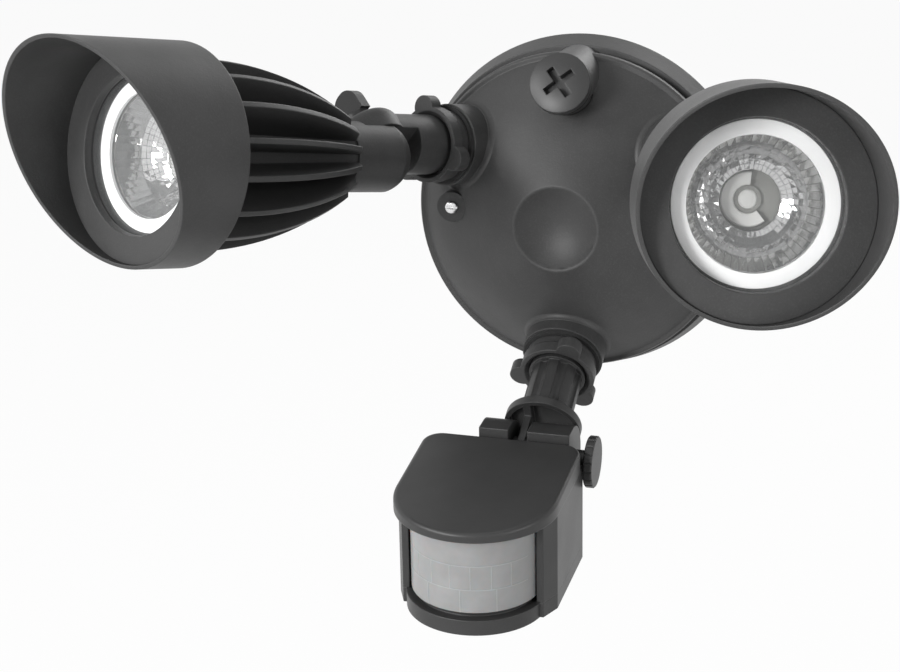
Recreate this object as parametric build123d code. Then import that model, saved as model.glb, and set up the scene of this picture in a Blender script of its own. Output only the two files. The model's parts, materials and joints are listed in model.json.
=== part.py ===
from build123d import *
import os
from math import cos, radians, sin

# Twin-head outdoor security light with a motion sensor, in millimetres.
# Working frame: x to the right, y up, z straight out of the wall, origin at the centre of the wall face.
# The finished pieces are turned so that +Z is up and the light faces -Y.

# Fits
slip = 0.10                # radial running clearance of stems, screws and seats
joint_gap = 0.25           # between the two cheeks of a knuckle
tap = 0.05                 # radial clearance of a screw in its thread

# Wall plate and its gaskets
canopy_radius = 62.5
skirt_depth = 10.3
skirt_draft = 2.5          # the skirt's front edge is this much smaller in radius
web_thick = 4.0
wall_gasket_inner = 52.0
wall_gasket_outer = 60.0
wall_gasket_thick = 2.0
cover_gasket_thick = 1.5
wire_hole_radius = 17.0
wire_hole_drop = 20.0
box_screw_spacing = 88.9
box_hole_radius = 2.4
post_radius = 4.2
post_height = 12.0
ground_screw_x = 24.0
ground_screw_y = -24.0
ground_head_radius = 4.0
ground_head_thick = 2.4
ground_shank_radius = 2.0

# Domed cover
spigot_radius = 53.6
spigot_gap = 0.4
cover_wall = 3.0
lip_radius = 58.6
lip_rear = 14.0
lip_front = 17.4
dome_bow = 2.7             # how far the dome stands out from a straight cone
dimple_radius = 15.3
dimple_rim = 46.0
dimple_depth = 4.6
dimple_round = 1.2
lip_bevel = 1.2
lip_land = 1.6             # flat ring around the foot of the dome
dome_roof = 37.8           # flat inside, behind the dimple
post_gap = 4.55            # between the screw posts and the spigot's inside
cover_screw_rise = 2.7     # the two cover screws sit this much above the middle
pad_radius = 5.6
pad_height = 33.0
cover_head_radius = 2.3
cover_head_thick = 1.7
cover_shank_radius = 1.5

# Threaded hubs, their washers and nuts
hub_radius = 50.75         # from the canopy's axis to the centre of a hub's face
hub_height = 33.46         # from the wall to the centre of a hub's face
hub_tilt = 30.5            # degrees that a hub leans outward
hub_boss_radius = 14.8
hub_boss_length = 18.7
side_hub_bearing = 30.36   # degrees above level, place of the two lamp hubs
side_hub_lean = 19.0       # degrees above level, direction in which they lean
thread_radius = 10.3
thread_depth = 8.7
hub_gasket_radius = 14.0
hub_gasket_thick = 1.2
nut_radius = 13.6
nut_gap = 0.2              # between a nut and its washer
nut_thick = 8.3
nut_flange = 4.6           # the eared front part of a nut
nut_collar_radius = 12.7
nut_dish = 1.7             # width of the countersink in the nut's front
nut_ears = 3
nut_ear_radius = 4.4
nut_ear_reach = 13.4
nut_turn = {"left": 17, "right": 60, "sensor": 96}   # degrees, as the nuts happen to stand

# Spare hub with its plug
plug_boss_radius = 9.9
plug_boss_rise = 50.3
plug_lean = 24.0           # degrees
plug_seat_height = 37.7
plug_gasket_thick = 0.8
plug_head_radius = 10.8
plug_head_thick = 4.4
plug_crown = 1.2
plug_thread_radius = 8.6
plug_thread_length = 11.0
plug_slot_length = 12.0
plug_slot_width = 2.6
plug_slot_depth = 3.4
plug_slot_turns = (40.0, 130.0)   # degrees

# Driver box inside the dome
driver_width = 58.0
driver_height = 33.0
driver_depth = 17.0
driver_bottom = 1.5
driver_ear = 5.0
driver_ear_thick = 2.0
driver_screw_radius = 1.5
driver_head_radius = 2.3
driver_head_thick = 1.5

# Lamp arm and knuckle
stem_radius = 10.7
stem_bore_radius = 6.0
arm_reach = 36.6           # from the hub's face to the knuckle's pivot
knuckle_offset = 6.3       # between the arm's axis and the lamp's axis
joint_side = 4.5           # from the lamp's axis to the joint face
cheek_radius = 12.2
cheek_thick = 10.0
cheek_round = 4.0
pivot_radius = 3.0
pivot_depth = 9.0          # how far the pivot screw enters the lamp's neck
neck_radius = 12.3
neck_cut = 13.3            # the neck is cut away this far for the arm's cheek
neck_end_gap = 1.2
neck_cap = 9.3             # how far the rounded end of the neck reaches past the pivot
thumb_collar_radius = 5.2
thumb_collar_thick = 4.0
paddle_width = 12.4
paddle_rise = 10.6
paddle_thick = 4.2

# Lamp head, measured forward from the pivot
fin_count = 16
fin_thick = 1.9
fin_start = 22.0
fin_tail_radius = 16.6
fin_tail_slope = 2.5
fin_mid_radius = 25.4
fin_mid = 46.5
fin_inset = 5.2            # the fins' front edge, inside the hood's radius
fin_overlap = 1.0
core_radius = 11.6
core_front_radius = 15.5
cup_rear = 86.0
cup_back_wall = 2.6
cup_front = 105.2
face_front = 109.2
hood_rear = 92.5
hood_radius = 36.8
hood_wall = 1.3
hood_seat = 3.3            # from the hood's outside to the cup that carries it
hood_short = 0.6           # hood beyond the lamp's face, short side
hood_long = 34.4           # hood beyond the lamp's face, long side
hood_turn = -32.0          # degrees from the pivot axis to the hood's long side
bezel_cover = 2.4          # how far the bezel reaches over the glass
bezel_bevel = 0.3          # draft of the bezel's bore
bezel_skirt_inset = 2.1
bezel_skirt_wall = 1.5
bezel_skirt_depth = 6.2
bezel_lip = 2.6
glass_inset = 1.5
glass_thick = 2.5
lens_gasket_thick = 0.8
ring_inset = 3.1
ring_width = 4.5
ring_thick = 1.2
ring_gap = 0.1             # between the bright ring and the glass
reflector_wall = 1.0
reflector_flange = 1.0
reflector_throat = 9.6
reflector_shoulder = 88.0   # where the sleeve around the holder widens into the bowl
reflector_back = 83.4
reflector_bow = 2.4
bowl_inset = 1.1
led_seat = 79.0
led_pocket_radius = 11.0
led_board_radius = 10.4
led_board_thick = 1.6
led_chip_radius = 4.2
led_chip_rise = 1.2
led_holder_radius = 8.8
led_holder_inner = 5.4
led_holder_thick = 2.4

# How the lamps and the sensor stand
left_swivel = 50.5         # degrees from upright to the pivot screw, about the hub's axis
left_tilt = 0.0
right_swivel = 0.0
right_tilt = -13.1
sensor_swivel = -91.0
sensor_tilt = -24.4        # degrees, up from the line of the arm

# Sensor arm
sensor_reach = 48.1        # from the hub's face to the hinge
sensor_stem_radius = 9.3
flute_count = 8
flute_radius = 2.2
bell_radius = 13.8
bell_wall = 1.8
bell_length = 3.2
bell_flare = 3.6
bell_clear = 13.0          # from the hinge to the bell's rim
tongue_thick = 2.6
tongue_barrel = 6.2        # width of the tongue around the hinge
tongue_radius = 6.2
tongue_shift = -4.5        # the tongue stands beside the stem's axis

# Sensor head, measured from the hinge
sensor_offset = -8.9       # centre of the head, sideways from the arm
sensor_half_width = 27.8
sensor_back = 6.5
sensor_side_front = 45.0
sensor_front = 52.5
sensor_front_half = 24.6
sensor_wall = 2.0
sensor_top = 1.4           # under the roof
sensor_floor = -28.9       # top of the tray
sensor_bottom = -34.4
lug_radius = 12.0
lug_reach = 14.0           # the lug at the knob
lug_far_reach = 18.4       # the other lug
lug_gap = 0.3
roof_thick = 3.2           # at its front
roof_rise = 4.6            # how much higher its back is
roof_half_width = 28.3
roof_front = 73.2
roof_corner = 7.0
roof_round = 1.4
lens_axis = 46.4
lens_radius = 22.4
lens_wall = 1.5
lens_back = 50.4
lens_floor_gap = 2.1
tray_front_radius = 24.2
tray_lip = 1.2
tray_step = 2.0            # the ring inside the lens reaches this far above the lens's lower edge
tray_step_wall = 2.0
board_front = 28.6
board_thick = 1.6
board_bottom = -27.5
board_top = 0.5
pir_radius = 4.6
pir_height = 4.4
pir_level = -13.0
relay_width = 19.0
relay_depth = 10.0
relay_tall = 15.0
dial_radius = 4.4
dial_thick = 2.6
dial_shaft_radius = 2.0
dial_shaft_length = 4.6
dial_spacing = 12.5
dial_forward = 27.0
tray_screw_side = 22.8
tray_screw_forward = 13.5
tray_post_radius = 3.4
tray_screw_radius = 1.4
tray_head_radius = 2.5
tray_head_thick = 1.6
tray_screw_length = 12.0
knob_radius = 9.2
knob_thick = 3.2
knob_collar_radius = 3.8
knob_collar_length = 5.3
knob_flutes = 18
knob_flute_radius = 0.4

# Worked out from the sizes above
ledge_radius = canopy_radius - skirt_draft
ring_bore = spigot_radius + spigot_gap
cover_rear = web_thick + cover_gasket_thick
cover_inner = spigot_radius - cover_wall
cover_screw_spacing = 2 * (cover_inner - post_radius - post_gap)
lip_edge = lip_radius - lip_bevel / 2
dome_foot = lip_edge - lip_land
nut_base = hub_gasket_thick + nut_gap
nut_front = nut_base + nut_thick
hood_inner = hood_radius - hood_wall
cup_radius = hood_radius - hood_seat
bezel_skirt_outer = cup_radius - bezel_skirt_inset
glass_radius = bezel_skirt_outer - bezel_skirt_wall - glass_inset
bezel_inner = glass_radius - bezel_cover
ring_outer = glass_radius - ring_inset
ring_inner = ring_outer - ring_width
bowl_radius = ring_outer - bowl_inset
fin_front = hood_rear + fin_overlap
fin_front_radius = hood_radius - fin_inset
glass_front = face_front - bezel_lip - lens_gasket_thick
glass_back = glass_front - glass_thick
ring_front = glass_back - ring_gap
ring_back = ring_front - ring_thick
flange_back = ring_back - reflector_flange
led_face = led_seat + led_board_thick
roof_top = sensor_top + roof_thick
roof_middle = roof_front - roof_half_width
pieces = {}


def rod(radius, start, end):
    return Pos(0, 0, start) * Cylinder(radius, end - start, align=(Align.CENTER, Align.CENTER, Align.MIN))


def tube(outer, inner, start, end):
    return rod(outer, start, end) - rod(inner, start, end)


def cross_rod(radius, start, end):
    """A rod along x instead of z."""
    return Rot(0, 90, 0) * rod(radius, start, end)


def block(low, high):
    size = [b - a for a, b in zip(low, high)]
    return Pos(*low) * Box(*size, align=(Align.MIN, Align.MIN, Align.MIN))


def turned(*edges):
    """A solid turned about z from a closed outline drawn as radius and height."""
    outline = make_face(Curve() + list(edges))
    return revolve(Plane.XZ * outline, Axis.Z)


def path(*points):
    return Polyline(*points)


def bow(first, last, height):
    """An arc that stands out from the line between two points, to its left."""
    a = Vector(*first)
    b = Vector(*last)
    side = (b - a).normalized().rotate(Axis.Z, 90)
    return ThreePointArc(a, (a + b) * 0.5 + side * height, b)


def hub_location(bearing, lean):
    seat = Vector(hub_radius * cos(radians(bearing)), hub_radius * sin(radians(bearing)), hub_height)
    out = sin(radians(hub_tilt))
    axis = Vector(out * cos(radians(lean)), out * sin(radians(lean)), cos(radians(hub_tilt)))
    up = Vector(0, 1, 0)
    return Plane(origin=seat, x_dir=up - axis * axis.dot(up), z_dir=axis).location


hubs = {
    "left": hub_location(180 - side_hub_bearing, 180 - side_hub_lean),
    "right": hub_location(side_hub_bearing, side_hub_lean),
    "sensor": hub_location(270, 270),
}
arms = {
    "left": hubs["left"] * Rot(0, 0, left_swivel),
    "right": hubs["right"] * Rot(0, 0, right_swivel),
    "sensor": hubs["sensor"] * Rot(0, 0, sensor_swivel),
}
lamps = {
    "left": arms["left"] * Pos(-knuckle_offset, 0, arm_reach) * Rot(left_tilt, 0, 0),
    "right": arms["right"] * Pos(-knuckle_offset, 0, arm_reach) * Rot(right_tilt, 0, 0),
}
sensor_hinge = arms["sensor"] * Pos(0, 0, sensor_reach) * Rot(sensor_tilt, 0, 0)
sensor_head = sensor_hinge * Pos(sensor_offset, 0, 0)
plug_seat = Pos(0, plug_boss_rise, plug_seat_height) * Rot(-plug_lean, 0, 0)


# Wall plate with its gasket and the gasket under the cover
def wall_plate():
    skirt = turned(path((0, 0), (canopy_radius, 0), (ledge_radius, skirt_depth), (ring_bore, skirt_depth),
                        (ring_bore, web_thick), (0, web_thick), (0, 0)))
    skirt -= tube(wall_gasket_outer, wall_gasket_inner, 0, wall_gasket_thick)
    skirt -= Pos(0, -wire_hole_drop, 0) * rod(wire_hole_radius, 0, web_thick)
    for side in (-1, 1):
        skirt -= Pos(0, side * box_screw_spacing / 2, 0) * rod(box_hole_radius, 0, web_thick)
        post = rod(post_radius, web_thick, web_thick + post_height)
        thread = rod(cover_shank_radius + tap, web_thick, web_thick + post_height)
        skirt += cover_screw_place(side) * (post - thread)
        skirt -= driver_screw_place(side) * rod(driver_screw_radius + tap, 0, web_thick)
    skirt -= Pos(ground_screw_x, ground_screw_y, 0) * rod(ground_shank_radius + tap, 0, web_thick)
    return skirt


def cover_screw_place(side):
    return Pos(side * cover_screw_spacing / 2, cover_screw_rise, 0)


def driver_screw_place(side):
    return Pos(side * (driver_width / 2 + driver_ear / 2), driver_bottom + driver_height / 2, 0)


pieces["wall_plate"] = wall_plate()
pieces["wall_gasket"] = tube(wall_gasket_outer - slip, wall_gasket_inner + slip, 0, wall_gasket_thick)
pieces["cover_gasket"] = tube(spigot_radius, cover_inner, web_thick, cover_rear)


# Domed cover: shell, hubs, plug boss and screw pads
def dome_outside():
    dimple_floor = dimple_rim - dimple_depth
    shell = turned(
        path((0, cover_rear), (spigot_radius, cover_rear), (spigot_radius, lip_rear),
             (lip_radius, lip_rear), (lip_radius, lip_front - lip_bevel), (lip_edge, lip_front),
             (dome_foot, lip_front)),
        bow((dimple_radius, dimple_rim), (dome_foot, lip_front), dome_bow),
        bow((0, dimple_floor), (dimple_radius, dimple_rim), -dimple_depth / 4),
        path((0, dimple_floor), (0, cover_rear)),
    )
    rims = shell.edges().filter_by(GeomType.CIRCLE)
    shell = fillet(rims.sort_by(Axis.Z)[-1], dimple_round)
    for hub in hubs.values():
        shell += hub * rod(hub_boss_radius, -hub_boss_length, 0)
    shell -= tube(canopy_radius + hub_boss_radius, spigot_radius, cover_rear, lip_rear)
    boss = Pos(0, plug_boss_rise, 0) * rod(plug_boss_radius, skirt_depth + joint_gap, dimple_rim)
    shell += boss - plug_seat * rod(canopy_radius, 0, canopy_radius)
    for side in (-1, 1):
        pad = cover_screw_place(side)
        shell += pad * rod(pad_radius, lip_rear, pad_height)
        shell -= pad * rod(pad_radius, pad_height, dimple_rim)
    return shell


def dome_inside():
    roof_edge = dimple_radius - cover_wall
    hollow = turned(
        path((0, cover_rear), (cover_inner, cover_rear), (cover_inner, lip_front - cover_wall)),
        bow((roof_edge, dome_roof), (cover_inner, lip_front - cover_wall), dome_bow),
        path((roof_edge, dome_roof), (0, dome_roof), (0, cover_rear)),
    )
    tower_base = web_thick + post_height
    for side in (-1, 1):
        hollow -= cover_screw_place(side) * rod(post_radius, tower_base, dimple_rim)
    return hollow


def canopy_cover():
    cover = dome_outside() - dome_inside()
    for hub in hubs.values():
        cover -= hub * rod(thread_radius + slip, -hub_boss_length - thread_depth, 0)
    cover -= plug_seat * rod(plug_thread_radius + tap, -plug_thread_length - plug_boss_radius, 0)
    for side in (-1, 1):
        cover -= cover_screw_place(side) * rod(cover_shank_radius + slip, web_thick, pad_height)
    return cover


def cover_screw():
    head = rod(cover_head_radius, pad_height, pad_height + cover_head_thick)
    head = fillet(head.edges().group_by(Axis.Z)[-1], cover_head_thick / 2)
    slot = block((-cover_head_radius, -cover_head_thick / 4, pad_height + cover_head_thick / 2),
                 (cover_head_radius, cover_head_thick / 4, pad_height + cover_head_thick))
    return head - slot + rod(cover_shank_radius, web_thick + tap, pad_height)


pieces["canopy_cover"] = canopy_cover()
pieces["cover_screws"] = [cover_screw_place(side) * cover_screw() for side in (-1, 1)]


# Plug of the spare hub, with a cross slot
def closure_plug():
    base = plug_gasket_thick
    rim = base + plug_head_thick - plug_crown
    head = turned(
        path((0, base), (plug_head_radius, base), (plug_head_radius, rim)),
        bow((0, rim + plug_crown), (plug_head_radius, rim), plug_crown / 2),
        path((0, rim + plug_crown), (0, base)),
    )
    slot = block((-plug_slot_length / 2, -plug_slot_width / 2, rim + plug_crown - plug_slot_depth),
                 (plug_slot_length / 2, plug_slot_width / 2, rim + 2 * plug_crown))
    for turn in plug_slot_turns:
        head -= Rot(0, 0, turn) * slot
    return head + rod(plug_thread_radius, -plug_thread_length, base)


pieces["closure_plug"] = plug_seat * closure_plug()
pieces["plug_gasket"] = plug_seat * tube(plug_head_radius, plug_thread_radius + tap, 0, plug_gasket_thick)


# Driver box on the wall plate
def led_driver():
    low = (-driver_width / 2, driver_bottom, web_thick)
    high = (driver_width / 2, driver_bottom + driver_height, web_thick + driver_depth)
    case = block(low, high)
    case = fillet(case.edges().filter_by(Axis.Z), driver_ear / 2)
    case = chamfer(case.faces().sort_by(Axis.Z)[-1].edges(), driver_ear_thick / 2)
    for side in (-1, 1):
        ear = rod(driver_ear, web_thick, web_thick + driver_ear_thick)
        ear -= rod(driver_screw_radius + slip, web_thick, web_thick + driver_ear_thick)
        case += driver_screw_place(side) * ear - block(low, high)
    return case


def driver_screw():
    top = web_thick + driver_ear_thick
    head = rod(driver_head_radius, top, top + driver_head_thick)
    return head + rod(driver_screw_radius, tap, top)


def ground_screw():
    head = rod(ground_head_radius, web_thick, web_thick + ground_head_thick)
    slot = block((-ground_head_radius, -ground_head_thick / 5, web_thick + ground_head_thick / 2),
                 (ground_head_radius, ground_head_thick / 5, web_thick + ground_head_thick))
    return head - slot + rod(ground_shank_radius, tap, web_thick)


pieces["led_driver"] = led_driver()
pieces["driver_screws"] = [driver_screw_place(side) * driver_screw() for side in (-1, 1)]
pieces["ground_screw"] = Pos(ground_screw_x, ground_screw_y, 0) * ground_screw()


# Washer and three-eared nut of each hub
def lock_nut():
    flange_base = nut_front - nut_flange
    nut = rod(nut_collar_radius, nut_base, nut_front) + rod(nut_radius, flange_base, nut_front)
    for ear in range(nut_ears):
        turn = Rot(0, 0, 360 / nut_ears * ear)
        nut += turn * Pos(nut_ear_reach, 0, 0) * rod(nut_ear_radius, flange_base, nut_front)
    bore = thread_radius + slip
    nut -= rod(bore, nut_base, nut_front)
    dish = Pos(0, 0, nut_front - nut_dish / 2) * Cone(
        bore, bore + nut_dish, nut_dish, align=(Align.CENTER, Align.CENTER, Align.CENTER))
    return nut - dish


for name, hub in hubs.items():
    pieces[name + "_hub_gasket"] = hub * tube(hub_gasket_radius, thread_radius + slip, 0, hub_gasket_thick)
    pieces[name + "_lock_nut"] = hub * Rot(0, 0, nut_turn[name]) * lock_nut()


# Lamp arm: threaded stem and the outer cheek of the knuckle, with the pivot along x
def lamp_arm():
    stem_end = arm_reach - neck_radius - neck_end_gap
    joint_face = joint_side - knuckle_offset
    arm = rod(thread_radius, -thread_depth, nut_front)
    arm += rod(stem_radius, nut_front + tap, stem_end) + rod(thread_radius, nut_front, nut_front + tap)
    cheek = Pos(0, 0, arm_reach) * cross_rod(cheek_radius, joint_face, joint_face + cheek_thick)
    cheek = fillet(cheek.edges().filter_by(GeomType.CIRCLE).sort_by(Axis.X)[-1], cheek_round)
    web = rod(stem_radius, stem_end - neck_end_gap, arm_reach)
    web &= block((joint_face, -stem_radius, 0), (joint_face + cheek_thick, stem_radius, arm_reach))
    arm += cheek + web
    arm -= rod(stem_bore_radius, -thread_depth, stem_end - neck_end_gap)
    arm -= Pos(0, 0, arm_reach) * cross_rod(pivot_radius + slip, joint_face, joint_face + cheek_thick)
    return arm


def thumb_screw():
    seat = joint_side - knuckle_offset + cheek_thick
    top = seat + thumb_collar_thick
    screw = cross_rod(pivot_radius, -knuckle_offset - pivot_depth, top)
    screw += cross_rod(thumb_collar_radius, seat + tap, top)
    paddle = block((top - paddle_thick / 2, -paddle_width / 2, -paddle_thick / 2),
                   (top + paddle_rise, paddle_width / 2, paddle_thick / 2))
    paddle = fillet(paddle.edges().filter_by(Axis.Z).group_by(Axis.X)[-1], 0.46 * paddle_width)
    paddle -= cross_rod(canopy_radius, seat - paddle_thick, top - tap)
    return Pos(0, 0, arm_reach) * (screw + paddle)


# Lamp head: finned casting with the inner cheek, core and front cup
def fin():
    tail = (fin_tail_radius, fin_start + fin_tail_slope)
    outline = make_face(Curve() + [
        path((core_radius / 2, fin_front), (core_radius / 2, fin_start), (core_radius, fin_start), tail),
        ThreePointArc(tail, (fin_mid_radius, fin_mid), (fin_front_radius, fin_front)),
        path((fin_front_radius, fin_front), (core_radius / 2, fin_front)),
    ])
    return extrude(Plane.XZ * outline, fin_thick / 2, both=True)


def heat_sink():
    cap_radius = (neck_radius ** 2 + neck_cap ** 2) / (2 * neck_cap)
    cap = Pos(0, 0, cap_radius - neck_cap) * Sphere(cap_radius) & rod(2 * neck_radius, -2 * neck_radius, 0)
    neck = cap + rod(neck_radius, 0, fin_start)
    sink = neck + turned(path((0, fin_start), (core_radius, fin_start), (core_front_radius, cup_rear),
                              (0, cup_rear), (0, fin_start)))
    for index in range(fin_count):
        sink += Rot(0, 0, 360 / fin_count * (index + 0.5)) * fin()
    sink += rod(bowl_radius + cup_back_wall, cup_rear, hood_rear) + rod(cup_radius, hood_rear, cup_front)
    reach = cheek_thick + thumb_collar_radius + paddle_rise
    sink -= block((joint_side - joint_gap, -reach, -reach), (reach, reach, neck_cut - joint_gap))
    sink -= cross_rod(pivot_radius + slip, -pivot_depth - tap, joint_side)
    sink -= rod(led_pocket_radius, led_seat, cup_front)
    sink -= rod(bowl_radius, cup_rear + reflector_wall, cup_front)
    sink -= rod(ring_outer + slip, flange_back, cup_front)
    sink -= rod(glass_radius + slip, glass_back, cup_front)
    skirt_inner = bezel_skirt_outer - bezel_skirt_wall
    sink -= tube(bezel_skirt_outer + slip, skirt_inner - slip, cup_front - bezel_skirt_depth, cup_front)
    return sink


def hood():
    tip = face_front + hood_long + hood_wall
    shell = tube(hood_radius, hood_inner, hood_rear, tip)
    shell += tube(hood_radius, cup_radius + slip, hood_rear, cup_front)
    rise = (hood_long - hood_short) / (2 * hood_radius)
    middle = face_front + (hood_long + hood_short) / 2
    cut = Plane(origin=(0, 0, middle), x_dir=(1, 0, rise), z_dir=(-rise, 0, 1)).location
    shell -= cut * rod(3 * hood_radius, 0, 2 * hood_long)
    return Rot(0, 0, hood_turn) * shell


def lens_bezel():
    ring = tube(hood_inner - slip, bezel_inner, cup_front, face_front)
    ring -= rod(glass_radius + slip, cup_front, face_front - bezel_lip)
    skirt_inner = bezel_skirt_outer - bezel_skirt_wall
    ring += tube(bezel_skirt_outer, skirt_inner, cup_front - bezel_skirt_depth, cup_front)
    bevel = Cone(bezel_inner, bezel_inner + bezel_bevel, bezel_lip)
    return ring - Pos(0, 0, face_front - bezel_lip / 2) * bevel


def reflector():
    throat = (reflector_throat, reflector_shoulder)
    mouth = (ring_inner, flange_back)
    outer_throat = (reflector_throat + reflector_wall, reflector_shoulder)
    outer_mouth = (ring_inner + reflector_wall, flange_back)
    bowl = turned(
        bow(mouth, throat, reflector_bow),
        path(throat, (throat[0], reflector_back), (outer_throat[0], reflector_back), outer_throat),
        bow(outer_mouth, outer_throat, reflector_bow),
        path(mouth, outer_mouth),
    )
    return bowl + tube(ring_outer, ring_inner, flange_back, ring_back)


def led_module():
    chip = rod(led_chip_radius, led_face, led_face + led_chip_rise)
    return rod(led_board_radius, led_seat, led_face) + chip


for side in ("left", "right"):
    at = lamps[side]
    pieces[side + "_arm"] = arms[side] * lamp_arm()
    pieces[side + "_thumb_screw"] = arms[side] * thumb_screw()
    pieces[side + "_heat_sink"] = at * heat_sink()
    pieces[side + "_hood"] = at * hood()
    pieces[side + "_lens_bezel"] = at * lens_bezel()
    pieces[side + "_lens_gasket"] = at * tube(glass_radius, bezel_inner, glass_front,
                                              glass_front + lens_gasket_thick)
    pieces[side + "_lens_glass"] = at * rod(glass_radius, glass_back, glass_front)
    pieces[side + "_lens_ring"] = at * tube(ring_outer, ring_inner, ring_back, ring_front)
    pieces[side + "_reflector"] = at * reflector()
    pieces[side + "_led_module"] = at * led_module()
    pieces[side + "_led_holder"] = at * tube(led_holder_radius, led_holder_inner, led_face,
                                             led_face + led_holder_thick)


# Sensor arm: fluted stem, open bell and the tongue of the hinge
def sensor_arm():
    rim = sensor_reach - bell_clear
    bell_start = rim - bell_length
    arm = rod(thread_radius, -thread_depth, nut_front + tap)
    stem = rod(sensor_stem_radius, nut_front, bell_start)
    for index in range(flute_count):
        flute = Pos(sensor_stem_radius + flute_radius / 2, 0, 0) * rod(flute_radius, nut_front, bell_start)
        stem -= Rot(0, 0, 360 / flute_count * (index + 0.5)) * flute
    arm += stem
    flare_start = bell_start - bell_flare
    flare = turned(path((0, flare_start), (sensor_stem_radius, flare_start), (bell_radius, bell_start),
                        (bell_radius, rim), (0, rim), (0, flare_start)))
    arm += flare - rod(bell_radius - bell_wall, bell_start, rim)
    left = tongue_shift - tongue_thick / 2
    right = tongue_shift + tongue_thick / 2
    tongue = block((left, -tongue_radius, bell_start), (right, tongue_radius, sensor_reach))
    web = block((left, -bell_radius, bell_start - tap), (right, bell_radius, rim))
    arm += web & rod(bell_radius - bell_wall / 2, bell_start - tap, rim)
    barrel = cross_rod(tongue_radius, -tongue_barrel / 2, tongue_barrel / 2)
    barrel -= cross_rod(pivot_radius + slip, -tongue_barrel / 2, tongue_barrel / 2)
    hinge_end = Pos(tongue_shift, 0, sensor_reach)
    arm += tongue - hinge_end * cross_rod(tongue_radius - tap, -tongue_thick, tongue_thick)
    arm += hinge_end * barrel
    arm -= rod(stem_bore_radius, -thread_depth, flare_start)
    return arm


def sensor_thumb_screw():
    start = lug_reach + knob_collar_length
    screw = cross_rod(pivot_radius, -lug_far_reach, start)
    screw += cross_rod(knob_collar_radius, lug_reach + tap, start)
    knob = cross_rod(knob_radius, start, start + knob_thick)
    knob = chamfer(knob.edges().filter_by(GeomType.CIRCLE), knob_flute_radius)
    for index in range(knob_flutes):
        flute = Pos(0, 0, knob_radius) * cross_rod(knob_flute_radius, start, start + knob_thick)
        knob -= Rot(360 / knob_flutes * index, 0, 0) * flute
    return screw + knob


# Sensor head: plans are drawn with x sideways and forward as height, then raised along y
def plan_prism(face, low, high):
    """A plan of sideways and forward sizes, raised from one level to another."""
    prism = extrude(face, high - low, dir=(0, 0, 1))
    return Pos(0, high, 0) * (Rot(90, 0, 0) * prism)


def body_plan(inset):
    half = sensor_half_width - inset
    front_half = sensor_front_half - inset
    back = sensor_back + inset
    corner = sensor_side_front - inset / 2
    front = sensor_front - inset
    return make_face(path(
        (-half, back), (half, back), (half, corner), (front_half, front), (-front_half, front),
        (-half, corner), (-half, back)))


def level_rod(radius, low, high):
    """A rod along y."""
    return Pos(0, high, 0) * (Rot(90, 0, 0) * rod(radius, 0, high - low))


def sensor_housing():
    shell = plan_prism(body_plan(0), sensor_floor, sensor_top)
    shell -= plan_prism(body_plan(sensor_wall), sensor_floor, sensor_top)
    opening = lens_radius - slip
    shell -= block((-opening, sensor_floor, sensor_side_front), (opening, sensor_top, sensor_front))
    for side in (-1, 1):
        post = Pos(side * tray_screw_side, 0, tray_screw_forward) * (
            level_rod(tray_post_radius, sensor_floor, sensor_floor + tray_screw_length)
            - level_rod(tray_screw_radius + tap, sensor_floor, sensor_floor + tray_screw_length))
        shell += post - plan_prism(body_plan(0), sensor_floor, sensor_top) + (
            post & plan_prism(body_plan(sensor_wall / 2), sensor_floor, sensor_top))
    inner = tongue_barrel / 2 + lug_gap
    for low, high in ((-lug_far_reach, tongue_shift - inner), (tongue_shift + inner, lug_reach)):
        lug = cross_rod(lug_radius, low, high)
        lug += block((low, -lug_radius, 0), (high, lug_radius, sensor_back + sensor_wall / 2))
        lug -= block((low, sensor_top, sensor_back - joint_gap), (high, lug_radius, sensor_front))
        lug -= cross_rod(pivot_radius + slip, low, high)
        shell += Pos(-sensor_offset, 0, 0) * lug
    return shell


def sensor_roof():
    half = roof_half_width
    plan = make_face(Curve() + [
        path((-half, roof_middle), (-half, sensor_back), (half, sensor_back), (half, roof_middle)),
        ThreePointArc((half, roof_middle), (0, roof_front), (-half, roof_middle)),
    ])
    roof = plan_prism(plan, sensor_top, roof_top + roof_rise)
    roof = fillet(roof.edges().filter_by(Axis.Y).sort_by(Axis.Z)[:2], roof_corner)
    slope = make_face(path(
        (roof_top + roof_rise, sensor_back), (roof_top, roof_front), (roof_top + 2 * roof_rise, roof_front),
        (roof_top + 2 * roof_rise, sensor_back), (roof_top + roof_rise, sensor_back)))
    roof -= extrude(Plane.YZ * slope, 2 * half, both=True)
    return fillet(roof.faces().sort_by(Axis.Y)[-1].edges(), roof_round)


def sensor_lens():
    low = sensor_floor + lens_floor_gap
    lens = level_rod(lens_radius, low, sensor_top) - level_rod(lens_radius - lens_wall, low, sensor_top)
    lens = Pos(0, 0, lens_axis) * lens
    return lens & block((-lens_radius, low, lens_back), (lens_radius, sensor_top, lens_axis + lens_radius))


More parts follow.
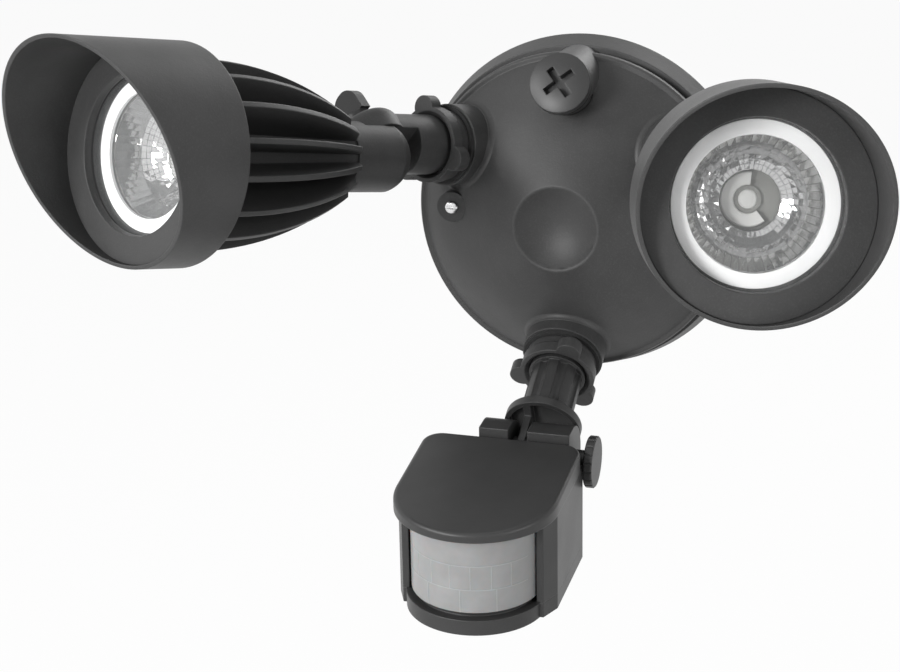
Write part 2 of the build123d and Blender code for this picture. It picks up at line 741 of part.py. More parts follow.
def sensor_tray():
    tray = plan_prism(body_plan(0), sensor_bottom, sensor_floor)
    tray += Pos(0, 0, lens_axis) * level_rod(tray_front_radius, sensor_bottom, sensor_floor)
    tray -= plan_prism(body_plan(sensor_wall + tray_lip), sensor_bottom + sensor_wall, sensor_floor)
    step_top = sensor_floor + lens_floor_gap + tray_step
    step_outer = lens_radius - lens_wall - 2 * slip
    step = level_rod(step_outer, sensor_floor - tap, step_top)
    step -= level_rod(step_outer - tray_step_wall, sensor_floor - tap, step_top)
    step = Pos(0, 0, lens_axis) * step
    tray += step & block((-step_outer, sensor_bottom, lens_back),
                         (step_outer, step_top, lens_axis + step_outer))
    for side in (-1, 1):
        hole = level_rod(tray_screw_radius + slip, sensor_bottom, sensor_floor)
        boss = level_rod(tray_post_radius, sensor_bottom, sensor_floor)
        boss &= plan_prism(body_plan(sensor_wall / 2), sensor_bottom, sensor_floor).moved(
            Pos(-side * tray_screw_side, 0, -tray_screw_forward))
        at = Pos(side * tray_screw_side, 0, tray_screw_forward)
        tray += at * boss
        tray -= at * hole
    for step in (-1, 0, 1):
        hole = level_rod(dial_shaft_radius + slip, sensor_bottom, sensor_floor)
        tray -= Pos(step * dial_spacing, 0, dial_forward) * hole
    return tray


def setting_dial():
    top = sensor_bottom - joint_gap
    dial = level_rod(dial_radius, top - dial_thick, top)
    slot = block((-dial_radius, top - dial_thick, -dial_shaft_radius / 4),
                 (dial_radius, top - dial_thick / 2, dial_shaft_radius / 4))
    pointer = block((-dial_shaft_radius / 4, top - dial_thick, 0),
                    (dial_shaft_radius / 4, top - dial_thick / 2, dial_radius))
    return dial - slot - pointer + level_rod(dial_shaft_radius, top, top + dial_shaft_length)


def tray_screw():
    top = sensor_bottom - tray_head_thick
    head = level_rod(tray_head_radius, top, sensor_bottom)
    slot = block((-tray_head_radius, top, -tray_head_thick / 5),
                 (tray_head_radius, top + tray_head_thick / 2, tray_head_thick / 5))
    shank = level_rod(tray_screw_radius, sensor_bottom, sensor_floor + tray_screw_length - tap)
    return head - slot + shank


board_half = sensor_half_width - sensor_wall - slip
board_back = board_front - board_thick
pieces["sensor_arm"] = arms["sensor"] * sensor_arm()
pieces["sensor_thumb_screw"] = sensor_hinge * sensor_thumb_screw()
pieces["sensor_housing"] = sensor_head * sensor_housing()
pieces["sensor_roof"] = sensor_head * sensor_roof()
pieces["sensor_lens"] = sensor_head * sensor_lens()
pieces["sensor_tray"] = sensor_head * sensor_tray()
pieces["sensor_board"] = sensor_head * block(
    (-board_half, board_bottom, board_back), (board_half, board_top, board_front))
pieces["pir_element"] = sensor_head * Pos(0, pir_level, 0) * rod(
    pir_radius, board_front, board_front + pir_height)
pieces["sensor_relay"] = sensor_head * block(
    (-relay_width / 2, pir_level - relay_tall / 2, board_back - relay_depth),
    (relay_width / 2, pir_level + relay_tall / 2, board_back))
for step, name in ((-1, "time_dial"), (0, "light_dial"), (1, "range_dial")):
    pieces[name] = sensor_head * Pos(step * dial_spacing, 0, dial_forward) * setting_dial()
pieces["sensor_screws"] = [
    sensor_head * Pos(side * tray_screw_side, 0, tray_screw_forward) * tray_screw() for side in (-1, 1)]

# Turn the working frame upright and write each piece
upright = Plane(origin=(0, 0, 0), x_dir=(1, 0, 0), z_dir=(0, -1, 0)).location
os.makedirs("parts", exist_ok=True)
for name, shape in pieces.items():
    group = shape if isinstance(shape, list) else [shape]
    solids = [solid for one in group for solid in (upright * one).solids()]
    export_step(solids[0] if len(solids) == 1 else Compound(children=solids), f"parts/{name}.step")
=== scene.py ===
import json
from math import atan2, cos, degrees, radians, sin, sqrt
from random import Random

import bpy
from mathutils import Matrix, Vector


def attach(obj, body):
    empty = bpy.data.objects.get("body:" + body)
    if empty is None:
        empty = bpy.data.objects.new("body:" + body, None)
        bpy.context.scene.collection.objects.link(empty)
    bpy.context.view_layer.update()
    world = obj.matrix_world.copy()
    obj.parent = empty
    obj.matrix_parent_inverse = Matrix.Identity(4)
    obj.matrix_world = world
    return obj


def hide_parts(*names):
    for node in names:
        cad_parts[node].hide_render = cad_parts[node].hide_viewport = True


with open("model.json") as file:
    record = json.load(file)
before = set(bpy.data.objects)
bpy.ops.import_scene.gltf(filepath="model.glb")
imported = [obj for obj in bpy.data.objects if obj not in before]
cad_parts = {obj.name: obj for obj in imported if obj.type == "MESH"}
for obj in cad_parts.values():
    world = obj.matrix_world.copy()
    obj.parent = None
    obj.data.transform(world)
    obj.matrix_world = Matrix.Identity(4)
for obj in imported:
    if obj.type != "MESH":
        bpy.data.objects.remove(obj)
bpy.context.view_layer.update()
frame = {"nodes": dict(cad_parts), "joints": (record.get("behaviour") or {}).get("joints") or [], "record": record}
nodes = frame["nodes"]
scene = bpy.context.scene
mm = 0.001
print("frame loaded:", len(nodes), "pieces")


# a socket that can be used in a sum
class Val:
    def __init__(self, graph, socket):
        self.graph = graph
        self.socket = socket

    def math(self, operation, *values):
        return self.graph.add("ShaderNodeMath", {"operation": operation}, list(values))[0]

    def __add__(self, other):
        return self.math("ADD", self, other)

    def __radd__(self, other):
        return self.math("ADD", other, self)

    def __sub__(self, other):
        return self.math("SUBTRACT", self, other)

    def __rsub__(self, other):
        return self.math("SUBTRACT", other, self)

    def __mul__(self, other):
        return self.math("MULTIPLY", self, other)

    def __rmul__(self, other):
        return self.math("MULTIPLY", other, self)

    def smooth(self, low, high):
        return self.graph.add("ShaderNodeMapRange", {"interpolation_type": "SMOOTHSTEP"},
                              {"Value": self, "From Min": low, "From Max": high})[0]


# the outputs of one node, by name or number
class Outs:
    def __init__(self, graph, node):
        self.graph = graph
        self.node = node

    def __getitem__(self, key):
        return Val(self.graph, self.node.outputs[key])


# a node tree; add() makes any node
class Graph:
    def __init__(self, tree):
        self.tree = tree

    def add(self, kind, settings, sockets):
        node = self.tree.nodes.new(kind)
        for key, value in settings.items():
            setattr(node, key, value)
        pairs = sockets.items() if isinstance(sockets, dict) else enumerate(sockets)
        for key, value in pairs:
            self.feed(node.inputs[key], value)
        return Outs(self, node)

    def feed(self, socket, value):
        if isinstance(value, Val):
            self.tree.links.new(value.socket, socket)
        else:
            socket.default_value = value

    # 1 for the rays that show the white surround
    def seenRays(self):
        rays = self.add("ShaderNodeLightPath", {}, {})
        seen = rays["Is Camera Ray"]
        for ray in ("Is Glossy Ray", "Is Transmission Ray"):
            seen = seen.math("MAXIMUM", seen, rays[ray])
        return seen


# one finish with its Principled shader
class Finish(Graph):
    def __init__(self, name, **shader):
        self.material = bpy.data.materials.new(name)
        self.material.use_nodes = True
        super().__init__(self.material.node_tree)
        self.shader = self.tree.nodes["Principled BSDF"]
        self.sockets = {socket.name.replace(" ", "").lower(): socket for socket in self.shader.inputs}
        self.set(**shader)
        self.place = self.add("ShaderNodeTexCoord", {}, {})["Object"]

    def set(self, **shader):
        for key, value in shader.items():
            self.feed(self.sockets[key.lower()], value)

    def noise(self, size, detail=2.0, place=None):
        return self.add("ShaderNodeTexNoise", {}, {
            "Vector": place or self.place, "Scale": 1 / size, "Detail": detail, "Roughness": 0.6})["Fac"]

    def mix(self, factor, first, second):
        return self.add("ShaderNodeMix", {"data_type": "RGBA"}, {0: factor, 6: first, 7: second})[2]

    def bump(self, height, depth, strength, normal=None):
        sockets = {"Height": height, "Distance": depth, "Strength": strength}
        if normal:
            sockets["Normal"] = normal
        return self.add("ShaderNodeBump", {}, sockets)["Normal"]

    def rounded(self, radius):
        return self.add("ShaderNodeBevel", {"samples": 6}, {"Radius": radius})["Normal"]

    # where an edge is: the rounded normal leaves the flat one
    def edges(self, rounded):
        flat = self.add("ShaderNodeNewGeometry", {}, {})["Normal"]
        same = self.add("ShaderNodeVectorMath", {"operation": "DOT_PRODUCT"}, [rounded, flat])["Value"]
        return (1 - same).smooth(0.02, 0.22)


def grey(value):
    return (value, value, value, 1.0)


# dark finishes: a grain, a broad orange peel and paler edges that are a painted highlight
coatLook = {"base": 0.036, "worn": 0.062, "grain": 0.65 * mm, "peel": 2.2 * mm, "depth": 0.12 * mm,
            "round": 0.7 * mm, "rough": 0.44, "cloud": 24 * mm}
plasticLook = {"base": 0.028, "worn": 0.05, "grain": 0.28 * mm, "peel": 1.6 * mm, "depth": 0.022 * mm,
               "round": 0.6 * mm, "rough": 0.36, "cloud": 24 * mm}
knobLook = {"base": 0.024, "worn": 0.045, "grain": 0.3 * mm, "peel": 1.4 * mm, "depth": 0.02 * mm,
            "round": 0.5 * mm, "rough": 0.38, "cloud": 24 * mm}


def powderCoat(name, look):
    coat = Finish(name, specularIORLevel=0.32)
    rounded = coat.rounded(look["round"])
    paintedHighlightMask = coat.edges(rounded)
    grain = coat.noise(look["grain"], 2.5)
    peel = coat.noise(look["peel"], 2.0)
    cloud = coat.noise(look["cloud"], 3.0)
    tone = coat.mix(cloud.smooth(0.3, 0.72), grey(look["base"] * 0.88), grey(look["base"] * 1.1))
    tone = coat.mix(grain.smooth(0.45, 0.75) * 0.35, tone, grey(look["base"] * 1.7))
    # the paler colour on the edges is a painted highlight, standing in for light caught by rounded edges
    coat.set(baseColor=coat.mix(paintedHighlightMask * (0.35 + 0.5 * peel), tone, grey(look["worn"])))
    coat.set(roughness=look["rough"] + 0.16 * grain - 0.08 * cloud)
    height = grain * 0.75 + peel * 0.55
    coat.set(normal=coat.bump(height, look["depth"], 0.55, rounded))
    return coat.material


# plain finishes: two tones in soft patches, a roughness that follows them, a faint relief
rubberLook = {"patch": 0.5 * mm, "detail": 3.0, "tones": (grey(0.018), grey(0.034)), "rough": (0.72, 0.18),
              "depth": 0.06 * mm, "strength": 0.5}
ringLook = {"patch": 5 * mm, "detail": 2.0, "tones": (grey(0.89), grey(0.93)), "rough": (0.46, 0.1),
            "depth": 0.03 * mm, "strength": 0.25, "round": 0.3 * mm}
whiteLook = {"patch": 1.5 * mm, "detail": 3.0, "tones": ((0.74, 0.74, 0.72, 1), (0.84, 0.84, 0.82, 1)),
             "rough": (0.38, 0.15), "depth": 0.02 * mm, "strength": 0.4, "round": 0.3 * mm}
boardLook = {"patch": 0.35 * mm, "detail": 3.0, "tones": ((0.20, 0.20, 0.19, 1), (0.30, 0.30, 0.28, 1)),
             "rough": (0.35, 0.2), "depth": 0.03 * mm, "strength": 0.4}
lensLook = {"patch": 7 * mm, "detail": 2.0, "tones": (grey(0.20), grey(0.26)), "rough": (0.30, 0.12)}
# the ribs are the lens's own plastic, painted paler as a painted highlight on their raised lines
ribHighlightLook = {"patch": 7 * mm, "detail": 2.0, "tones": (grey(0.25), grey(0.31)), "rough": (0.30, 0.12)}
lensShader = {"specularIORLevel": 0.4, "subsurfaceWeight": 0.25, "subsurfaceScale": 2 * mm}


def patchy(name, look, **shader):
    finish = Finish(name, **shader)
    patch = finish.noise(look["patch"], look["detail"])
    finish.set(baseColor=finish.mix(patch, *look["tones"]))
    low, spread = look["rough"]
    finish.set(roughness=low + spread * patch)
    if "depth" in look:
        rounded = finish.rounded(look["round"]) if "round" in look else None
        finish.set(normal=finish.bump(patch, look["depth"], look["strength"], rounded))
    return finish.material


steelLook = {"dark": 0.62, "bright": 0.80, "dull": 1.1 * mm, "brushed": 0.12 * mm,
             "stretch": (1.0, 0.12, 0.12), "depth": 0.01 * mm, "round": 0.25 * mm}


def brightSteel(look):
    steel = Finish("brightSteel", metallic=1.0)
    stretch = steel.add("ShaderNodeMapping", {}, {"Vector": steel.place, "Scale": look["stretch"]})
    brushed = steel.noise(look["brushed"], 2.0, stretch["Vector"])
    dull = steel.noise(look["dull"], 3.0)
    steel.set(baseColor=steel.mix(dull, grey(look["dark"]), grey(look["bright"])))
    steel.set(roughness=0.20 + 0.18 * brushed)
    steel.set(normal=steel.bump(brushed, look["depth"], 0.4, steel.rounded(look["round"])))
    return steel.material


glassLook = {"smear": 9 * mm, "dark": (0.90, 0.93, 0.93, 1), "clear": (0.97, 0.98, 0.98, 1), "alpha": 0.05}


def lampGlass(look):
    glass = Finish("lampGlass", roughness=0.03, iOR=1.5, specularIORLevel=0.5)
    smear = glass.noise(look["smear"], 3.0)
    glass.set(baseColor=glass.mix(smear, look["dark"], look["clear"]))
    glass.set(alpha=look["alpha"] + 0.05 * smear.smooth(0.55, 0.9))
    return glass.material


mirrorLook = {"dark": 0.42, "bright": 0.60, "haze": 5 * mm, "ripple": 1.6 * mm, "depth": 0.05 * mm}


def mirrorBowl(look):
    mirror = Finish("mirrorBowl", metallic=0.85, specularIORLevel=0.6)
    ripple = mirror.noise(look["ripple"], 2.0)
    haze = mirror.noise(look["haze"], 3.0)
    mirror.set(baseColor=mirror.mix(haze, grey(look["dark"]), grey(look["bright"])))
    mirror.set(roughness=0.05 + 0.10 * haze.smooth(0.45, 0.8))
    mirror.set(normal=mirror.bump(ripple, look["depth"], 0.35))
    return mirror.material


circuitLook = {"board": (0.01, 0.075, 0.03, 1), "track": (0.03, 0.15, 0.07, 1), "scale": 180.0, "gap": 0.012,
               "width": 0.9, "row": 0.25}


def circuitBoard(look):
    board = Finish("circuitBoard", specularIORLevel=0.45)
    tracks = board.add("ShaderNodeTexBrick", {}, {
        "Vector": board.place, "Scale": look["scale"], "Mortar Size": look["gap"],
        "Brick Width": look["width"], "Row Height": look["row"]})
    board.set(baseColor=board.mix(tracks["Fac"], look["board"], look["track"]))
    board.set(roughness=0.35 + 0.1 * board.noise(1 * mm))
    return board.material


finishes = {
    "coated_casting": powderCoat("coatedCasting", coatLook),
    "dark_plastic": powderCoat("darkPlastic", plasticLook),
    "knob_plastic": powderCoat("knobPlastic", knobLook),
    "seal_rubber": patchy("sealRubber", rubberLook, specularIORLevel=0.25),
    "bright_steel": brightSteel(steelLook),
    "lamp_glass": lampGlass(glassLook),
    "white_ring": patchy("whiteRing", ringLook, coatWeight=0.12, coatRoughness=0.2),
    "reflector_mirror": mirrorBowl(mirrorLook),
    "white_plastic": patchy("whitePlastic", whiteLook, specularIORLevel=0.4),
    "led_board": patchy("ledBoard", boardLook, specularIORLevel=0.4),
    "sensor_lens_plastic": patchy("sensorLens", lensLook, **lensShader),
    "circuit_board": circuitBoard(circuitLook),
}
slotOf = {part["node"]: part["material_slot"] for part in frame["record"]["subparts"]}
for name, piece in nodes.items():
    finish = finishes[slotOf[name]]
    if not piece.material_slots:
        piece.data.materials.append(finish)
    for slot in piece.material_slots:
        slot.material = finish
print("finishes on", len(nodes), "pieces")


# working frames of the two lamps and the sensor, from the joints
joints = {joint["name"]: joint for joint in frame["joints"]}
restTilt = {"left": 0.0, "right": -13.1, "sensor": -24.4}   # degrees from the line of the arm
knuckleOffset = 6.3 * mm
sensorOffset = 8.9 * mm


def headFrame(side):
    across = Vector(joints[side + "_tilt"]["axis"]).normalized()
    forward = Vector(joints[side + "_swivel"]["axis"]).normalized()
    forward = Matrix.Rotation(radians(restTilt[side]), 3, across) @ forward
    origin = Vector(joints[side + "_tilt"]["pos_m"])
    if side != "sensor":
        origin -= across * knuckleOffset
    turn = Matrix((across, forward.cross(across), forward)).transposed()
    return Matrix.Translation(origin) @ turn.to_4x4()


def sensorFrame():
    return headFrame("sensor") @ Matrix.Translation((-sensorOffset, 0, 0))


# modelling helpers: z runs along the lamp, sizes in millimetres
smoothAngle = radians(60)


def startRing(name, count, radius, height):
    bpy.ops.object.select_all(action="DESELECT")
    bpy.ops.mesh.primitive_circle_add(vertices=count, radius=radius * mm, location=(0, 0, height * mm))
    piece = bpy.context.object
    piece.name = name
    bpy.ops.object.mode_set(mode="EDIT")
    bpy.ops.mesh.select_mode(type="VERT")
    bpy.ops.mesh.select_all(action="SELECT")
    return piece


def nextRing(fromRadius, radius, rise):
    bpy.ops.mesh.extrude_region_move(TRANSFORM_OT_translate={"value": (0, 0, rise * mm)})
    bpy.ops.transform.resize(value=(radius / fromRadius, radius / fromRadius, 1))


def selectFaces(piece, wanted):
    bpy.ops.mesh.select_mode(type="FACE")
    bpy.ops.mesh.select_all(action="DESELECT")
    bpy.ops.object.mode_set(mode="OBJECT")
    for face in piece.data.polygons:
        face.select = wanted(face)
    bpy.ops.object.mode_set(mode="EDIT")


def selectVerts(piece, wanted):
    bpy.ops.mesh.select_mode(type="VERT")
    bpy.ops.mesh.select_all(action="DESELECT")
    bpy.ops.object.mode_set(mode="OBJECT")
    for vert in piece.data.vertices:
        vert.select = wanted(vert)
    bpy.ops.object.mode_set(mode="EDIT")


def turnNormals(inside=False):
    bpy.ops.mesh.select_all(action="SELECT")
    bpy.ops.mesh.normals_make_consistent(inside=inside)


def applyAll(piece):
    bpy.context.view_layer.objects.active = piece
    for modifier in list(piece.modifiers):
        bpy.ops.object.modifier_apply(modifier=modifier.name)


# a sheet becomes a closed wall, grown away from its normals
def thicken(piece, thickness):
    wall = piece.modifiers.new("wall", "SOLIDIFY")
    wall.thickness = thickness * mm
    wall.offset = -1.0
    applyAll(piece)


def settle(piece, place, body, slot, finish, *replaced):
    bpy.ops.object.select_all(action="DESELECT")
    piece.select_set(True)
    bpy.context.view_layer.objects.active = piece
    bpy.ops.object.transform_apply(location=True, rotation=True, scale=True)
    piece.matrix_world = place
    bpy.ops.object.transform_apply(location=True, rotation=True, scale=True)
    piece.data.materials.clear()
    piece.data.materials.append(finish)
    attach(piece, body)
    if replaced:
        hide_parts(*replaced)


def copyOf(piece, name):
    twin = piece.copy()
    twin.data = piece.data.copy()
    twin.name = name
    scene.collection.objects.link(twin)
    return twin


# reflector bowls: long facets at the mouth, small ones behind, each one a tilted pillow
bowl = {"throat": 9.6, "mouth": 20.8, "back": 88.0, "front": 101.0, "belly": 2.4, "flange": 25.2,
        "lip": 0.9, "sleeve": 4.6, "facets": 48, "rows": (0.0, 0.1, 0.2, 0.3, 0.4, 0.5, 1.0), "wall": 0.7,
        "seam": 0.1, "pillow": 0.2, "tilt": 0.12, "seed": 7, "flatNormal": 0.95}


def bowlPoint(share):
    # along an arc that swells outward from the straight cone
    dr = bowl["mouth"] - bowl["throat"]
    ds = bowl["front"] - bowl["back"]
    length = sqrt(dr * dr + ds * ds)
    swell = bowl["belly"] * 4 * share * (1 - share) / length
    return bowl["throat"] + dr * share + swell * ds, bowl["back"] + ds * share - swell * dr


# the selected corners are drawn in a fixed order, so that each run tilts the facets alike
def tiltFacets(piece):
    draw = Random(bowl["seed"])
    corners = [vert for vert in piece.data.vertices if vert.select]
    corners.sort(key=lambda vert: (round(vert.co.z / mm, 2), round(atan2(vert.co.y, vert.co.x), 4)))
    for vert in corners:
        way = Vector([draw.gauss(0, 1) for axis in "xyz"]).normalized()
        vert.co += way * (draw.random() * bowl["tilt"] * mm)


def addReflectors():
    radius, height = bowlPoint(0.0)
    piece = startRing("left_faceted_bowl", bowl["facets"], radius, height - bowl["sleeve"])
    nextRing(radius, radius, bowl["sleeve"])
    for share in bowl["rows"][1:]:
        nextRadius, nextHeight = bowlPoint(share)
        nextRing(radius, nextRadius, nextHeight - height)
        radius, height = nextRadius, nextHeight
    nextRing(radius, bowl["flange"], 0.0)
    nextRing(bowl["flange"], bowl["flange"], bowl["lip"])
    turnNormals(inside=True)
    selectFaces(piece, lambda face: (face.center.xy.length < bowl["mouth"] * mm
                                     and abs(face.normal.z) < bowl["flatNormal"]))
    bpy.ops.mesh.inset(thickness=bowl["seam"] * mm, depth=bowl["pillow"] * mm, use_individual=True)
    bpy.ops.object.mode_set(mode="OBJECT")
    tiltFacets(piece)
    thicken(piece, bowl["wall"])
    bpy.ops.object.shade_flat()
    twin = copyOf(piece, "right_faceted_bowl")
    mirror = finishes["reflector_mirror"]
    settle(piece, headFrame("left"), "left_lamp", "reflector_mirror", mirror, "left_reflector")
    settle(twin, headFrame("right"), "right_lamp", "reflector_mirror", mirror, "right_reflector")


addReflectors()
print("reflectors faceted")


# light-emitting chips: an open white holder around a domed emitter
holder = {"inner": 4.4, "outer": 8.6, "base": 80.6, "rise": 2.4, "step": 0.4, "from": -52.0, "to": 84.0,
          "wall": 0.6, "around": 72}
emitter = {"radius": 3.0, "base": 81.8, "rise": 0.9, "angles": (20, 40, 60, 78), "around": 40}


def openHolder(side, place):
    sideways = place.to_3x3().inverted() @ Vector((1, 0, 0))
    first = degrees(atan2(sideways.y, sideways.x)) + holder["from"]     # the gap faces right on the wall
    span = holder["to"] - holder["from"]
    inner, outer, step = holder["inner"], holder["outer"], holder["step"]
    piece = startRing(side + "_open_holder", holder["around"], inner, holder["base"])
    nextRing(inner, inner, holder["rise"] - step)
    nextRing(inner, inner + step, step)
    nextRing(inner + step, outer - step, 0.0)
    nextRing(outer - step, outer, -step)
    nextRing(outer, outer, step - holder["rise"])
    turnNormals()
    selectFaces(piece, lambda face: (degrees(atan2(face.center.y, face.center.x)) - first) % 360 < span)
    bpy.ops.mesh.delete(type="FACE")
    bpy.ops.object.mode_set(mode="OBJECT")
    thicken(piece, holder["wall"])
    return piece


def domedEmitter(side):
    piece = startRing(side + "_emitter", emitter["around"], emitter["radius"], emitter["base"])
    radius, height = emitter["radius"], 0.0
    for angle in emitter["angles"]:
        nextRadius = emitter["radius"] * cos(radians(angle))
        nextHeight = emitter["rise"] * sin(radians(angle))
        nextRing(radius, nextRadius, nextHeight - height)
        radius, height = nextRadius, nextHeight
    bpy.ops.mesh.select_all(action="SELECT")
    bpy.ops.mesh.fill_holes(sides=0)
    turnNormals()
    bpy.ops.object.mode_set(mode="OBJECT")
    bpy.ops.object.shade_smooth_by_angle(angle=smoothAngle)
    return piece


def addHolders():
    white = finishes["white_plastic"]
    for side in ("left", "right"):
        place = headFrame(side)
        piece = openHolder(side, place)
        settle(piece, place, side + "_lamp", "white_plastic", white, side + "_led_holder")
        dome = domedEmitter(side)
        settle(dome, place, side + "_lamp", "white_plastic", white)


addHolders()
print("holders opened")


# the hubs run into the dome with a hollow blend
blend = {"boss": 14.92, "radius": 2.0, "rings": (90, 72, 54, 38, 24, 12, 0), "start": 6.0, "lowest": -17.0,
         "highest": -1.0, "sink": 0.12, "wall": 0.4, "around": 120, "match": 0.02}


def addBlends():
    for side in ("left", "right", "sensor"):
        axis = Vector(joints[side + "_swivel"]["axis"]).normalized()
        place = axis.to_track_quat("Z", "Y").to_matrix().to_4x4()
        place.translation = Vector(joints[side + "_swivel"]["pos_m"])
        dome = copyOf(nodes["canopy_cover"], "domeToFollow")
        dome.matrix_world = place.inverted() @ nodes["canopy_cover"].matrix_world
        radii = [blend["boss"] + blend["radius"] * (1 - cos(radians(angle))) for angle in blend["rings"]]
        piece = startRing(side + "_hub_blend", blend["around"], radii[0], blend["start"])
        for last, radius in zip(radii, radii[1:]):
            nextRing(last, radius, 0.0)
        bpy.ops.object.mode_set(mode="OBJECT")
        follow = piece.modifiers.new("follow", "SHRINKWRAP")
        follow.wrap_method = "PROJECT"
        follow.target = dome
        follow.use_project_z = True
        follow.use_negative_direction = True
        follow.use_positive_direction = False
        bpy.ops.object.transform_apply(location=True, rotation=True, scale=True)
        applyAll(piece)
        bpy.data.objects.remove(dome)
        bpy.ops.object.mode_set(mode="EDIT")
        # what missed the dome goes
        selectVerts(piece, lambda vert: not blend["lowest"] * mm < vert.co.z < blend["highest"] * mm)
        bpy.ops.mesh.delete(type="VERT")
        for angle, radius in zip(blend["rings"], radii):
            rise = blend["radius"] * (1 - sin(radians(angle))) - blend["sink"]
            selectVerts(piece, lambda vert: abs(vert.co.xy.length - radius * mm) < blend["match"] * mm)
            bpy.ops.transform.translate(value=(0, 0, rise * mm))
        turnNormals()
        bpy.ops.object.mode_set(mode="OBJECT")
        thicken(piece, blend["wall"])
        bpy.ops.object.shade_smooth_by_angle(angle=smoothAngle)
        settle(piece, place, "canopy", "coated_casting", finishes["coated_casting"])


addBlends()
print("hubs blended")


# ribs between the fields of the sensor's lens, coloured paler than the lens as a painted highlight
ribs = {"axis": 46.4, "radius": 22.4, "proud": 0.08, "width": 0.36, "bottom": -26.8,
        "levels": (-9.6, -18.4), "middle": 7, "lower": 4, "span": 64.0, "steps": 48}


def ribBar(angle, low, high):
    bpy.ops.object.select_all(action="DESELECT")
    bpy.ops.mesh.primitive_cube_add(size=1.0)
    bar = bpy.context.object
    bar.name = "uprightRib"
    bpy.ops.transform.resize(value=(ribs["width"] * mm, (high - low) * mm, 2 * ribs["proud"] * mm))
    bpy.ops.transform.translate(value=(0, (low + high) / 2 * mm, ribs["radius"] * mm))
    bpy.ops.object.transform_apply(location=True, rotation=True, scale=True)
    bpy.ops.transform.rotate(value=radians(-angle), orient_axis="Y", center_override=(0, 0, 0))
    bpy.ops.transform.translate(value=(0, 0, ribs["axis"] * mm))
    bpy.ops.object.transform_apply(location=True, rotation=True, scale=True)
    return bar


def ribArc(level):
    centre = (0, 0, ribs["axis"] * mm)
    bpy.ops.object.select_all(action="DESELECT")
    bpy.ops.mesh.primitive_plane_add(size=1.0, rotation=(0, radians(90), 0))
    arc = bpy.context.object
    arc.name = "levelRib"
    bpy.ops.object.transform_apply(location=True, rotation=True, scale=True)
    bpy.ops.object.mode_set(mode="EDIT")
    bpy.ops.mesh.select_all(action="SELECT")
    bpy.ops.transform.resize(value=(1, ribs["width"] * mm, 2 * ribs["proud"] * mm))
    bpy.ops.transform.translate(value=(0, level * mm, (ribs["axis"] + ribs["radius"]) * mm))
    bpy.ops.transform.rotate(value=radians(-ribs["span"]), orient_axis="Y", center_override=centre)
    bpy.ops.mesh.spin(steps=ribs["steps"], angle=radians(2 * ribs["span"]), axis=(0, 1, 0), center=centre)
    turnNormals()
    bpy.ops.object.mode_set(mode="OBJECT")
    return arc


def addRibs():
    bars = [ribArc(level) for level in ribs["levels"]]
    upper, lower = ribs["levels"]
    for count, low, high in ((ribs["middle"], lower, upper), (ribs["lower"], ribs["bottom"], lower)):
        for step in range(1, count):
            angle = ribs["span"] * (2 * step / count - 1)
            bars.append(ribBar(angle, low, high))
    bpy.ops.object.select_all(action="DESELECT")
    for bar in bars:
        bar.select_set(True)
    bpy.context.view_layer.objects.active = bars[0]
    bpy.ops.object.join()
    piece = bpy.context.object
    piece.name = "sensor_lens_ribs"
    # a paler copy of the lens finish: a painted highlight on the ribs
    paintedLitRibs = patchy("lensRibsPaintedHighlight", ribHighlightLook, **lensShader)
    settle(piece, sensorFrame(), "sensor", "sensor_lens_plastic", paintedLitRibs)


addRibs()
print("lens ribbed")


# camera at the photograph's angle
view = {"azimuth": 16.051, "elevation": 16.477, "roll": -0.29, "distance": 0.9331, "right": -0.04998,
        "up": -0.05033, "lens": 100.46, "sensor": 36.0}


def addCamera():
    az, el, roll = (radians(view[key]) for key in ("azimuth", "elevation", "roll"))
    back = Vector((sin(az) * cos(el), -cos(az) * cos(el), sin(el)))
    right = Vector((cos(az), sin(az), 0))
    up = back.cross(right)
    right, up = right * cos(roll) + up * sin(roll), up * cos(roll) - right * sin(roll)
    spot = right * view["right"] + up * view["up"] + back * view["distance"]
    bpy.ops.object.camera_add()
    camera = bpy.context.object
    camera.matrix_world = Matrix.Translation(spot) @ Matrix((right, up, back)).transposed().to_4x4()
    camera.data.lens = view["lens"]
    camera.data.sensor_width = view["sensor"]
    scene.camera = camera


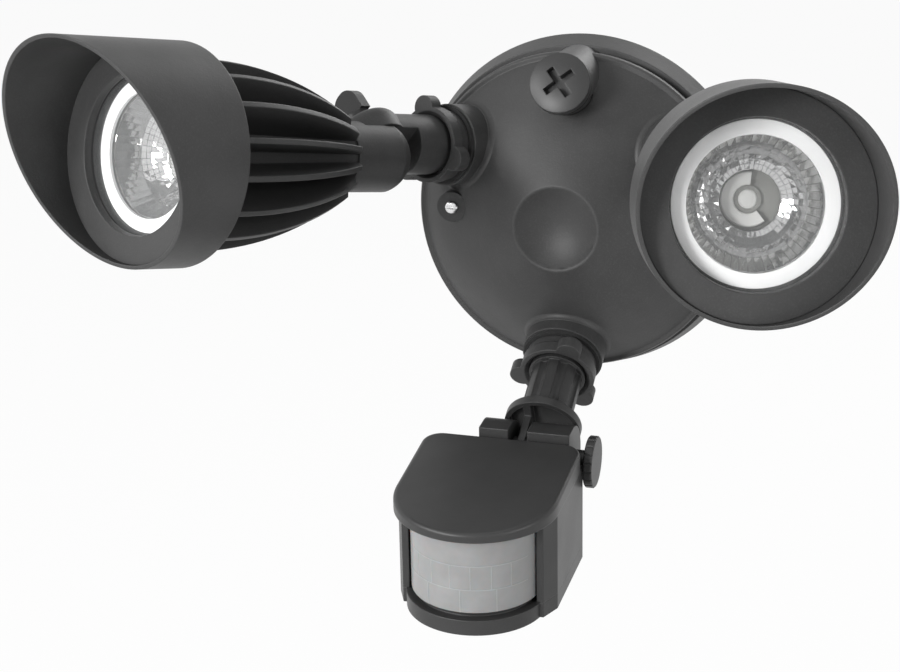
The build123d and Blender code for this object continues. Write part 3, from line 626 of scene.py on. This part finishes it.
# soft lamps, a pale floor and a white surround
lamps = {
    "key": {"at": (-1.1, -1.05, 0.7), "size": 0.5, "watts": 14.5},
    "front": {"at": (-0.6, -1.55, 0.36), "size": 0.45, "watts": 22.5},
    "side": {"at": (1.35, -0.6, 0.3), "size": 0.8, "watts": 7.5},
    "top": {"at": (-0.1, -0.1, 1.5), "size": 1.2, "watts": 2.0},
    "back": {"at": (0.4, 1.6, 0.7), "size": 0.9, "watts": 9.0},
}
lampAim = (0, -0.08, 0)
surround = {"ambient": 0.22, "floorLevel": -0.42, "floorSize": 12.0, "floorTone": 0.9, "floorWhite": 0.94}


def addLamps():
    for name, lamp in lamps.items():
        bpy.ops.object.light_add(type="AREA", location=lamp["at"])
        light = bpy.context.object
        light.name = name
        light.data.size = lamp["size"]
        light.data.energy = lamp["watts"]
        aim = Vector(lampAim) - Vector(lamp["at"])
        light.rotation_euler = aim.to_track_quat("-Z", "Y").to_euler()


def addSurround():
    scene.world = scene.world or bpy.data.worlds.new("surround")
    scene.world.use_nodes = True
    sky = Graph(scene.world.node_tree)
    level = sky.add("ShaderNodeMapRange", {}, {
        "Value": sky.seenRays(), "To Min": surround["ambient"], "To Max": 1.0})[0]
    background = sky.tree.nodes["Background"]
    sky.feed(background.inputs["Color"], grey(1.0))
    sky.feed(background.inputs["Strength"], level)


def addFloor():
    bpy.ops.mesh.primitive_plane_add(size=surround["floorSize"], location=(0, 0, surround["floorLevel"]))
    floor = bpy.context.object
    floor.name = "floor"
    pale = Finish("paleFloor", roughness=0.9, specularIORLevel=0.1, baseColor=grey(surround["floorTone"]))
    glow = pale.add("ShaderNodeEmission", {}, {"Color": grey(1.0), "Strength": 1.0})["Emission"]
    lit = Val(pale, pale.shader.outputs[0])
    share = pale.seenRays() * surround["floorWhite"]     # the rest keeps the shadow
    mixed = pale.add("ShaderNodeMixShader", {}, [share, lit, glow])[0]
    pale.feed(pale.tree.nodes["Material Output"].inputs["Surface"], mixed)
    floor.data.materials.append(pale.material)


bpy.ops.object.select_all(action="DESELECT")
addCamera()
addLamps()
addSurround()
addFloor()
scene.view_settings.view_transform = "Standard"
print("stage ready")
